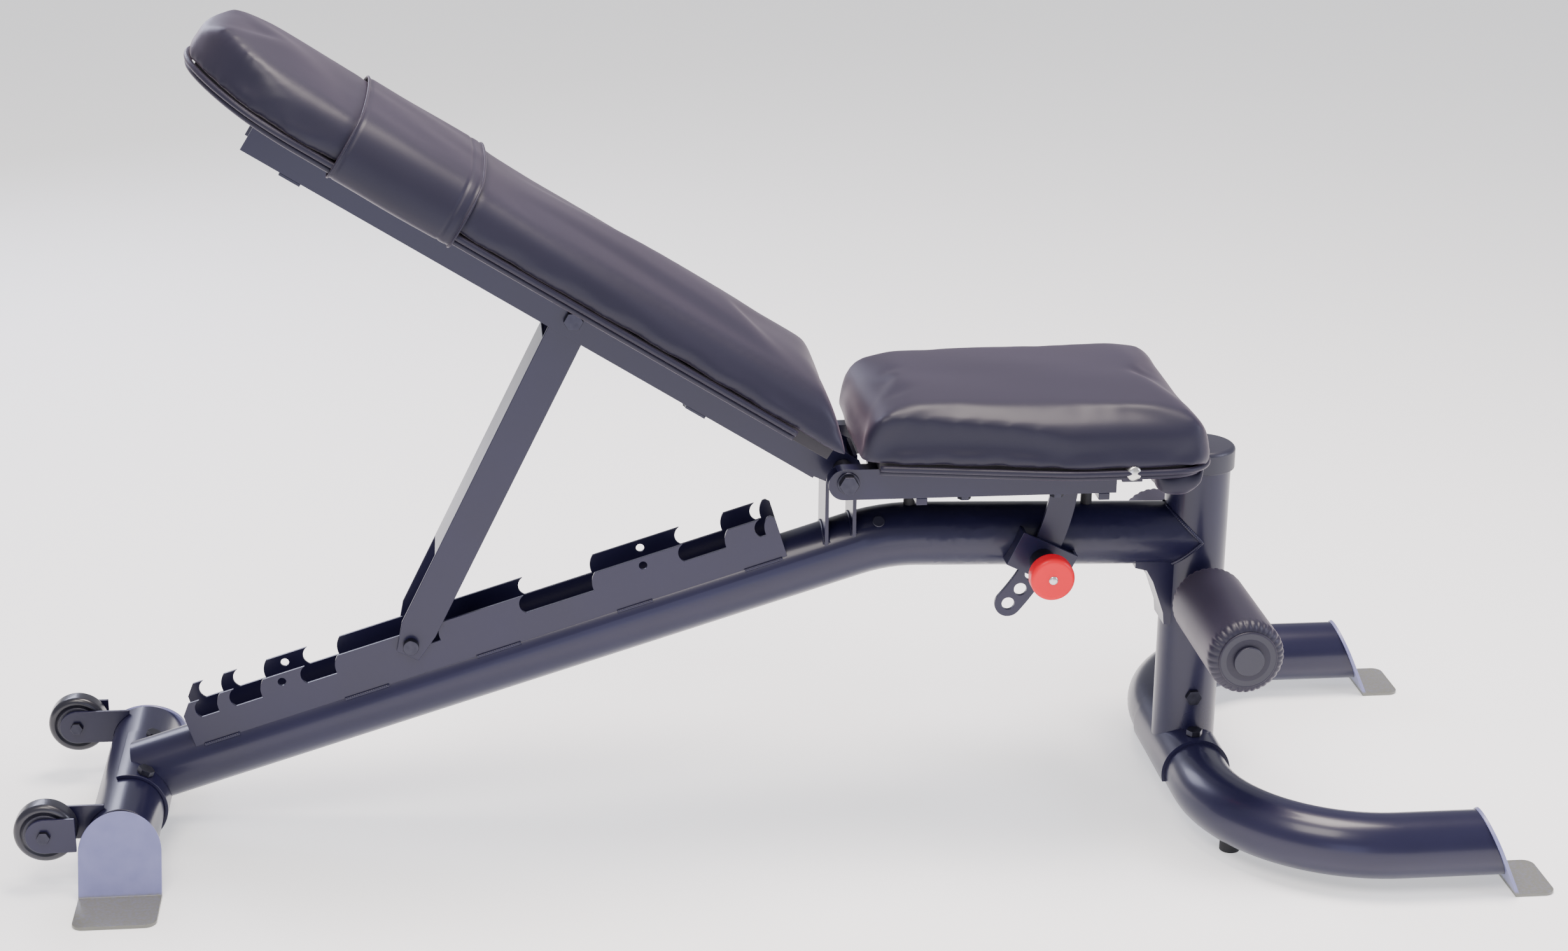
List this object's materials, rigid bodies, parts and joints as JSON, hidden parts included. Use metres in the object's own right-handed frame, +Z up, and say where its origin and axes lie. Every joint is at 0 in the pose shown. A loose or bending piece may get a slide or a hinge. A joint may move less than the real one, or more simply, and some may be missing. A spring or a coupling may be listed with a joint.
{
  "type": "adjustable weight bench",
  "caption": "Adjustable weight bench: hinged backrest held by a strut in a notched ladder, tilting seat with pull pin, leg rollers, floor plates and transport wheels.",
  "frame": {"origin": "middle of the footprint, on the floor", "axes": "+X from the transport wheels to the leg rollers, +Y to the far side (the pull pin is on -Y), +Z up"},
  "size_m": [1.614, 0.605, 0.8951],
  "materials": {
    "frame_paint": "gloss powder coat",
    "foot_plate": "gloss powder coat",
    "vinyl": "grained vinyl",
    "board": "painted plywood",
    "zinc_steel": "zinc plated",
    "black_plastic": "moulded",
    "rubber": "matt",
    "tyre": "matt",
    "knob_red": "moulded gloss",
    "roller_foam": "vinyl skin"
  },
  "bodies": {
    "frame": {"spine_tube": "frame_paint", "front_post": "frame_paint", "base_u_tube": "frame_paint", "rear_cross_tube": "frame_paint", "ladder_near": "frame_paint", "ladder_far": "frame_paint", "upright_rear": "frame_paint", "upright_front": "frame_paint", "hinge_sleeve": "frame_paint", "plunger_bracket": "frame_paint", "post_gusset": "frame_paint", "post_saddle": "frame_paint", "rear_saddle": "frame_paint", "wheel_brackets": "frame_paint", "roller_bar": "frame_paint", "front_foot_near": "foot_plate", "front_foot_far": "foot_plate", "rear_foot_near": "foot_plate", "rear_foot_far": "foot_plate", "hinge_bolt": "zinc_steel", "hinge_washers": "zinc_steel", "saddle_bolts": "zinc_steel", "plunger_housing": "zinc_steel", "plunger_spring": "zinc_steel", "wheel_axles": "zinc_steel", "post_cap": "black_plastic", "spine_plug": "black_plastic", "roller_caps": "black_plastic", "bumpers": "rubber", "base_rubber_feet": "rubber"},
    "backrest": {"back_bar": "frame_paint", "back_board": "board", "back_cushion": "vinyl", "back_cushion_foot": "vinyl", "head_sleeve": "vinyl", "back_trim": "black_plastic", "back_bolts": "zinc_steel", "strut_bolt": "zinc_steel"},
    "strut": {"strut_channel": "frame_paint", "lock_pin": "zinc_steel"},
    "seat": {"seat_rails": "frame_paint", "seat_cross_bars": "frame_paint", "seat_lugs": "frame_paint", "seat_spacers": "zinc_steel", "seat_board": "board", "seat_cushion": "vinyl", "seat_cushion_tail": "vinyl", "seat_trim": "black_plastic", "seat_bolts": "zinc_steel", "sector_plate": "frame_paint"},
    "pull_knob": {"pull_pin": "zinc_steel", "knob": "knob_red"},
    "wheel_near": {"tyre_near": "tyre", "hub_near": "black_plastic"},
    "wheel_far": {"tyre_far": "tyre", "hub_far": "black_plastic"},
    "roller_near": {"roller_core_near": "black_plastic", "roller_foam_near": "roller_foam"},
    "roller_far": {"roller_core_far": "black_plastic", "roller_foam_far": "roller_foam"}
  },
  "joints": [
    {"name": "back_hinge", "type": "hinge", "parent": "frame", "child": "backrest", "pos_m": [0.074, 0, 0.407], "axis": [0, 1, 0], "range_deg": [0, 35], "deforming": ["back_cushion_foot", "seat_cushion_tail"]},
    {"name": "strut_pivot", "type": "hinge", "parent": "backrest", "child": "strut", "pos_m": [-0.21158, 0, 0.57839], "axis": [0, 1, 0], "range_deg": [-39, 0]},
    {"name": "seat_hinge", "type": "hinge", "parent": "frame", "child": "seat", "pos_m": [0.074, 0, 0.407], "axis": [0, -1, 0], "range_deg": [0, 14.76]},
    {"name": "knob_pull", "type": "slide", "parent": "frame", "child": "pull_knob", "axis": [0, -1, 0], "range_m": [0, 0.01], "stiffness_N_per_m": 900, "springref_m": -0.004, "deforming": ["plunger_spring"]},
    {"name": "wheel_spin_near", "type": "hinge", "parent": "frame", "child": "wheel_near", "pos_m": [-0.7745, -0.138, 0.066], "axis": [0, 1, 0], "continuous": true},
    {"name": "roller_spin_near", "type": "hinge", "parent": "frame", "child": "roller_near", "pos_m": [0.4804, -0.131, 0.2457], "axis": [0, 1, 0], "continuous": true},
    {"name": "wheel_spin_far", "type": "hinge", "parent": "frame", "child": "wheel_far", "pos_m": [-0.7745, 0.138, 0.066], "axis": [0, 1, 0], "continuous": true},
    {"name": "roller_spin_far", "type": "hinge", "parent": "frame", "child": "roller_far", "pos_m": [0.4804, 0.131, 0.2457], "axis": [0, 1, 0], "continuous": true}
  ],
  "couplings": [
    {"joint": "strut_pivot", "follows": "back_hinge", "ratio": -1.1}
  ]
}
